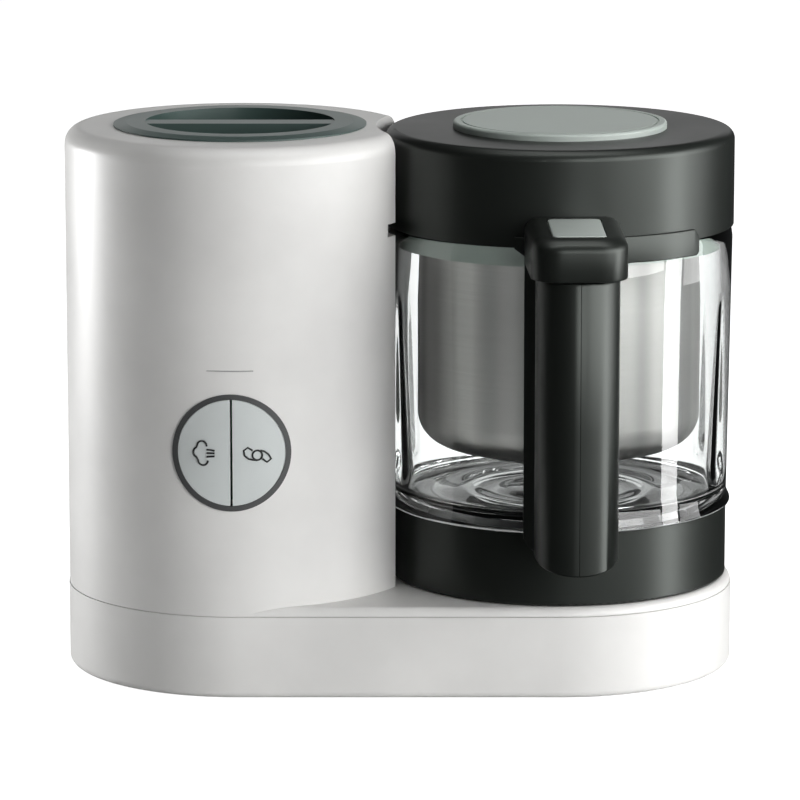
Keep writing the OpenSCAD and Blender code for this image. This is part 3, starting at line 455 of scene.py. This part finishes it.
wall_in = [(70.5 + (z - 84) * 1.6 / 113, z) for z in [84 + 113 * i / 30 for i in range(31)]]
glass_outline = (
    [(9.6, FLOOR_TOP), (22, FLOOR_TOP), (23, 77.3), (34, 77.3), (35, FLOOR_TOP), (44, FLOOR_TOP),
     (45, 77.4), (60, 77.5), (65, 78.2)]
    + arc(64.5, 84, 5.9, -80, -2, 8) + wall_in[1:]
    + arc(74.3, 196, 1.3, 120, 20, 5) + [(76.2, 192)]
    + [(74.7 + 1.5 * (z - 78) / 114, z) for z in (170, 150, 120, 100, 85, 78)]
    + arc(75.1, 74.2, 1.2, 20, -80, 6) + [(71.5, 72.9), (71.4, GLASS_LOW), (57, GLASS_LOW)]
    + [(56, 73.8), (46, 73.9), (9.6, 73.9)])
clear_glass = bpy.data.materials.new("clear_glass")
clear_glass.use_nodes = True
glass_skin = clear_glass.node_tree.nodes["Principled BSDF"]
glass_skin.inputs["Base Color"].default_value = (0.975, 0.99, 0.985, 1)
glass_skin.inputs["Transmission Weight"].default_value = 1
glass_skin.inputs["IOR"].default_value = 1.5
glass_skin.inputs["Roughness"].default_value = 0.0
ripple = clear_glass.node_tree.nodes.new("ShaderNodeTexNoise")
ripple.inputs["Scale"].default_value = 45
ripple_relief = clear_glass.node_tree.nodes.new("ShaderNodeBump")
ripple_relief.inputs["Strength"].default_value = 0.05
ripple_relief.inputs["Distance"].default_value = 0.0003
glass_place = clear_glass.node_tree.nodes.new("ShaderNodeTexCoord")
clear_glass.node_tree.links.new(glass_place.outputs["Object"], ripple.inputs["Vector"])
clear_glass.node_tree.links.new(ripple.outputs["Fac"], ripple_relief.inputs["Height"])
clear_glass.node_tree.links.new(ripple_relief.outputs["Normal"], glass_skin.inputs["Normal"])
pressed_glass = piece("pressed_glass", turned(glass_outline, JUG_X, 336, ribbed), clear_glass,
                      "jug")
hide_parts("jug_glass")

# ------------------------------------------------------------------ blades
# Four stamped steel wings on a hub, ground to an edge.

blade_steel = machined("ground_blade_steel", (0.66, 0.66, 0.65), 0.2, line=0.2)
dress(blade_steel, "blades")

# ------------------------------------------------------------------ steam basket
# Drawn stainless steel with fine brushing round its wall and soft upright bands of painted
# reflection in its colour, a perforated floor and a pale green silicone rim hanging it in the jug's
# mouth.

steel_with_painted_bands = bpy.data.materials.new("brushed_basket_steel")
steel_with_painted_bands.use_nodes = True
brush_nodes, brush_links = steel_with_painted_bands.node_tree.nodes, steel_with_painted_bands.node_tree.links
brush_skin = brush_nodes["Principled BSDF"]
brush_skin.inputs["Metallic"].default_value = 1
brush_skin.inputs["Anisotropic"].default_value = 0.75
brush_place = brush_nodes.new("ShaderNodeTexCoord")
brush_squeeze = brush_nodes.new("ShaderNodeMapping")
brush_squeeze.inputs["Scale"].default_value = (18, 18, 3200)
brush_lines = brush_nodes.new("ShaderNodeTexNoise")
brush_lines.inputs["Scale"].default_value = 1
brush_lines.inputs["Detail"].default_value = 5
# Painted reflection: soft upright light and dark bands multiplied into the steel's colour stand for
# the studio lights mirrored in its wall.
reflection_band_squeeze = brush_nodes.new("ShaderNodeMapping")
reflection_band_squeeze.inputs["Location"].default_value = (1.3, 0.4, 0)
reflection_band_squeeze.inputs["Scale"].default_value = (48, 48, 0)
reflection_band_noise = brush_nodes.new("ShaderNodeTexNoise")
reflection_band_noise.inputs["Scale"].default_value = 1
reflection_band_noise.inputs["Detail"].default_value = 1
painted_reflection_bands = brush_nodes.new("ShaderNodeValToRGB")
painted_reflection_bands.color_ramp.elements[0].position = 0.36
painted_reflection_bands.color_ramp.elements[1].position = 0.60
painted_reflection_bands.color_ramp.elements[0].color = (0.5, 0.5, 0.5, 1)
painted_reflection_bands.color_ramp.elements[1].color = (1, 1, 1, 1)
painted_reflection_steel_colour = brush_nodes.new("ShaderNodeMixRGB")
painted_reflection_steel_colour.blend_type = "MULTIPLY"
painted_reflection_steel_colour.inputs["Fac"].default_value = 1
brush_tint = brush_nodes.new("ShaderNodeValToRGB")
brush_tint.color_ramp.elements[0].color = (0.54, 0.535, 0.515, 1)
brush_tint.color_ramp.elements[1].color = (0.74, 0.735, 0.71, 1)
brush_gloss = brush_nodes.new("ShaderNodeMapRange")
brush_gloss.inputs["To Min"].default_value = 0.26
brush_gloss.inputs["To Max"].default_value = 0.42
brush_relief = brush_nodes.new("ShaderNodeBump")
brush_relief.inputs["Strength"].default_value = 0.2
brush_relief.inputs["Distance"].default_value = LINE_DEPTH
brush_round = brush_nodes.new("ShaderNodeTangent")
brush_round.direction_type = "RADIAL"
brush_round.axis = "Z"
brush_links.new(brush_place.outputs["Object"], brush_squeeze.inputs["Vector"])
brush_links.new(brush_squeeze.outputs["Vector"], brush_lines.inputs["Vector"])
brush_links.new(brush_lines.outputs["Fac"], brush_tint.inputs["Fac"])
brush_links.new(brush_place.outputs["Object"], reflection_band_squeeze.inputs["Vector"])
brush_links.new(reflection_band_squeeze.outputs["Vector"], reflection_band_noise.inputs["Vector"])
brush_links.new(reflection_band_noise.outputs["Fac"], painted_reflection_bands.inputs["Fac"])
brush_links.new(brush_tint.outputs["Color"], painted_reflection_steel_colour.inputs["Color1"])
brush_links.new(painted_reflection_bands.outputs["Color"], painted_reflection_steel_colour.inputs["Color2"])
brush_links.new(painted_reflection_steel_colour.outputs["Color"], brush_skin.inputs["Base Color"])
brush_links.new(brush_lines.outputs["Fac"], brush_gloss.inputs["Value"])
brush_links.new(brush_gloss.outputs["Result"], brush_skin.inputs["Roughness"])
brush_links.new(brush_lines.outputs["Fac"], brush_relief.inputs["Height"])
brush_links.new(brush_relief.outputs["Normal"], brush_skin.inputs["Normal"])
brush_links.new(brush_round.outputs["Tangent"], brush_skin.inputs["Tangent"])
dress(steel_with_painted_bands, "steam_basket")
pale_silicone = moulded("pale_green_silicone", (0.44, 0.52, 0.47), 0.5, grain=0.15)
dress(pale_silicone, "basket_rim")

# ------------------------------------------------------------------ lid, skirt and disc
# A deep charcoal lid with a rolled top edge, a thin skirt that overlaps the glass behind the
# handle, and a sage disc let into its top inside a fine groove.

sage = moulded("sage_disc", (0.46, 0.515, 0.48), 0.42, grain=0.2)
dress(charcoal, "lid_shell")
dress(sage, "lid_disc")


def lofted(loops, close_ends=True):
    """Points and faces of a skin through loops that all have the same number of points."""
    count = len(loops[0])
    points = [point for loop in loops for point in loop]
    faces = []
    for level in range(len(loops) - 1):
        low, high = level * count, (level + 1) * count
        for step in range(count):
            after = (step + 1) % count
            faces.append((low + step, low + after, high + after, high + step))
    if close_ends:
        faces.append(tuple(range(count)))
        faces.append(tuple(range((len(loops) - 1) * count, len(loops) * count)))
    return points, faces


SKIRT_FROM = -16
SKIRT_TO = 48.6
SKIRT_LOW = 190.8
SKIRT_HIGH = 202.3
SKIRT_STEPS = 130
SKIRT_IN = 76.72
SKIRT_OUT = 78.1


def skirt_edges(angle):
    """Lower and upper height of the skirt: a ramp at its left end, a cut corner at its right."""
    ramp = SKIRT_LOW + 6.4 * (1 - (angle - SKIRT_FROM) / 7)
    low = max(SKIRT_LOW, ramp) + max(angle - SKIRT_TO + 0.8, 0) * 1.2
    high = SKIRT_HIGH - max(angle - SKIRT_TO + 2, 0) * 1.4
    return low, high


skirt_loops = []
for step in range(SKIRT_STEPS + 1):
    angle = SKIRT_FROM + (SKIRT_TO - SKIRT_FROM) * step / SKIRT_STEPS
    low, high = skirt_edges(angle)
    a = math.radians(angle - 90)
    rim = [(SKIRT_IN, low), (77.7, low), (78.05, low + 0.35), (SKIRT_OUT, low + 0.9),
           (SKIRT_OUT, high - 0.8), (77.9, high - 0.25), (77.5, high), (SKIRT_IN, high)]
    skirt_loops.append([(JUG_X + r * math.cos(a), r * math.sin(a), z) for r, z in rim])
skirt = piece("skirt", lofted(skirt_loops), charcoal, "lid")
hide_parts("lid_skirt")

# ------------------------------------------------------------------ handle
# A strap hugs the glass and grows into a thick block at the lid. The hollow grip hangs from the
# block in front of the fingers, in two shells, with a sage release key let into the block's top.

HANDLE_TURN = math.radians(2.4)
LID_SIDE = 78.6
BLOCK_FRONT = 125.6
BLOCK_LOW = 191.1
BLOCK_TALL = 20.2
BLOCK_HALF = 20.5
BLOCK_CORNER = 12.5
ROLL = 6.0
WELL_DEPTH = 6.4
STRAP_LOW = 66
STRAP_CORNER = 7
STRAP_OUT = 81.1


def by_handle(points):
    """Turns points drawn with the handle straight ahead to where the handle sits."""
    c, s = math.cos(HANDLE_TURN), math.sin(HANDLE_TURN)
    return [(JUG_X + x * c - y * s, x * s + y * c, z) for x, y, z in points]


def between(start, end, count):
    """Evenly spaced values, without the last one."""
    return [start + (end - start) * i / count for i in range(count)]


def block_outline(inset):
    """Plan of the block: two sides, two wide front corners and the hollow that fits the lid."""
    half = BLOCK_HALF - inset
    front = BLOCK_FRONT - inset
    corner = BLOCK_CORNER - 0.45 * inset
    back = math.sqrt(LID_SIDE ** 2 - half ** 2)
    plan = [(-half, -y) for y in between(back, front - corner, 8)]
    plan += [(x - half + corner, y - front + corner) for x, y in
             arc(0, 0, corner, 180, 270, 12)]
    plan += [(x, -front) for x in between(-half + corner, half - corner, 6)][1:]
    plan += [(half - corner + x, -front + corner + y) for x, y in arc(0, 0, corner, 270, 360, 12)]
    plan += [(half, -y) for y in between(front - corner, back, 8)][1:]
    plan += [(x, -math.sqrt(LID_SIDE ** 2 - x * x)) for x in between(half, -half, 14)]
    return plan


def block_top(y):
    """Height of the block's top, which falls towards the front."""
    fall = 2.6 * max(-y - LID_SIDE, 0) / (BLOCK_FRONT - LID_SIDE)
    return BLOCK_LOW + BLOCK_TALL - fall


levels = [(0.9, 0.0), (0.25, 0.25), (0.0, 0.9), (0.0, BLOCK_TALL - ROLL - 3)]
levels += [(ROLL - x, BLOCK_TALL - ROLL + z) for x, z in arc(0, 0, ROLL, 0, 90, 10)]
block_loops = []
for inset, rise in levels:
    plan = block_outline(inset)
    block_loops.append([(x, y, BLOCK_LOW + rise * (block_top(y) - BLOCK_LOW) / BLOCK_TALL)
                        for x, y in plan])


def rounded_plan(half, back, front, corner):
    """Rounded rectangle seen from above, its corners in order from the back left."""
    plan = []
    for cx, cy, start in (
            (-half + corner, -front + corner, 180), (half - corner, -front + corner, 270),
            (half - corner, -back - corner, 0), (-half + corner, -back - corner, 90)):
        plan += arc(cx, cy, corner, start, start + 90, 6)
    return plan


def add_shape(build, shape):
    """Adds points and faces to a mesh under construction and returns its vertices."""
    points, faces = shape
    verts = [build.verts.new(point) for point in points]
    for face in faces:
        build.faces.new([verts[corner] for corner in face])
    return verts


build = bmesh.new()
body_verts = add_shape(build, lofted(block_loops, close_ends=False))
count = len(block_loops[0])
build.faces.new(body_verts[:count])
rim = body_verts[-count:]
well = rounded_plan(11.75, 81.3, 116.9, 2.6)
well_top = [build.verts.new((x, y, block_top(y))) for x, y in well]
well_low = [build.verts.new((x, y, block_top(y) - WELL_DEPTH)) for x, y in well]
edges = []
for ring in (rim, well_top):
    for here, there in zip(ring, ring[1:] + ring[:1]):
        edges.append(build.edges.get((here, there)) or build.edges.new((here, there)))
bmesh.ops.triangle_fill(build, use_beauty=True, use_dissolve=False, edges=edges)
for step in range(len(well)):
    after = (step + 1) % len(well)
    build.faces.new((well_top[step], well_top[after], well_low[after], well_low[step]))
build.faces.new(well_low)
strap_loops = []
strap_heights = [STRAP_LOW + STRAP_CORNER - x for x, _ in arc(0, 0, STRAP_CORNER, 0, 90, 10)]
for z in strap_heights + [80, 120, 160, 192]:
    rise = max(STRAP_LOW + STRAP_CORNER - z, 0)
    half = BLOCK_HALF - STRAP_CORNER + math.sqrt(max(STRAP_CORNER ** 2 - rise ** 2, 0))
    inner = LID_SIDE if z > 71.4 else 74.75
    loop = []
    for x in between(-half, half, 18) + [half]:
        edge = min(half - abs(x), 1.2)
        r = STRAP_OUT - 0.9 * (1 - edge / 1.2) ** 2
        loop.append((x, -math.sqrt(r * r - x * x), z))
    for x in between(half, -half, 18) + [-half]:
        loop.append((x, -math.sqrt(inner ** 2 - x * x), z))
    strap_loops.append(loop)
add_shape(build, lofted(strap_loops))
frame_points = [tuple(v.co) for v in build.verts]
build.verts.index_update()
frame_faces = [[v.index for v in face.verts] for face in build.faces]
build.free()
handle_block = piece("handle_block", (by_handle(frame_points), frame_faces), charcoal, "jug",
                     sharp=40)
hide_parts("handle_frame")


GRIP_LOW = 65.0
GRIP_HALF = 17.75
GRIP_BACK = 104.9
PARTING = 0.22


def grip_plan(inset):
    """Plan of the grip: flat back, round front with a fine parting line down its middle."""
    half = GRIP_HALF - inset
    middle = BLOCK_FRONT - GRIP_HALF
    plan = [(-half + 0.6, -GRIP_BACK), (-half, -GRIP_BACK - 0.7), (-half, -middle)]
    for x, y in arc(0, 0, half, 180, 360, 40)[1:-1]:
        plan.append((x, -middle + y))
    plan.insert(len(plan) // 2 + 2, (PARTING, -middle - half + 0.02))
    plan = [(x, y + (PARTING if abs(x) < 0.1 else 0)) for x, y in plan]
    plan += [(half, -middle), (half, -GRIP_BACK - 0.7), (half - 0.6, -GRIP_BACK)]
    return plan


grip_loops = []
for inset, rise in ((2.2, 0.0), (1.0, 0.05), (0.45, 0.35), (0.0, 1.1), (0.0, 60)):
    grip_loops.append([(x, y, GRIP_LOW + rise + (0.3 * (y + BLOCK_FRONT) if rise < 20 else 0))
                       for x, y in grip_plan(inset)])
for inset, z in ((0.0, 189.6), (0.4, 190.4), (1.0, 190.7)):
    grip_loops.append([(x, y, z) for x, y in grip_plan(inset)])
grip_points, grip_faces = lofted(grip_loops)
grip = piece("grip", (by_handle(grip_points), grip_faces), charcoal, "jug")
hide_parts("handle_outer_shell")
dress(charcoal, "handle_inner_shell", "lid_latch")

release_green = moulded("release_key_green", (0.50, 0.55, 0.52), 0.36, grain=0.15)
key_loops = []
for inset, drop in ((0.6, 3.2), (0.0, 2.8), (0.0, 0.8), (0.25, 0.2), (0.8, 0.0)):
    plan = rounded_plan(11.35 - inset, 81.6 + inset, 116.5 - inset, 2.4)
    key_loops.append([(x, y, block_top(y) + 0.35 - drop) for x, y in plan])
key_points, key_faces = lofted(key_loops)
release_key = piece("release_key", (by_handle(key_points), key_faces), release_green, "release")
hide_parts("release_button")
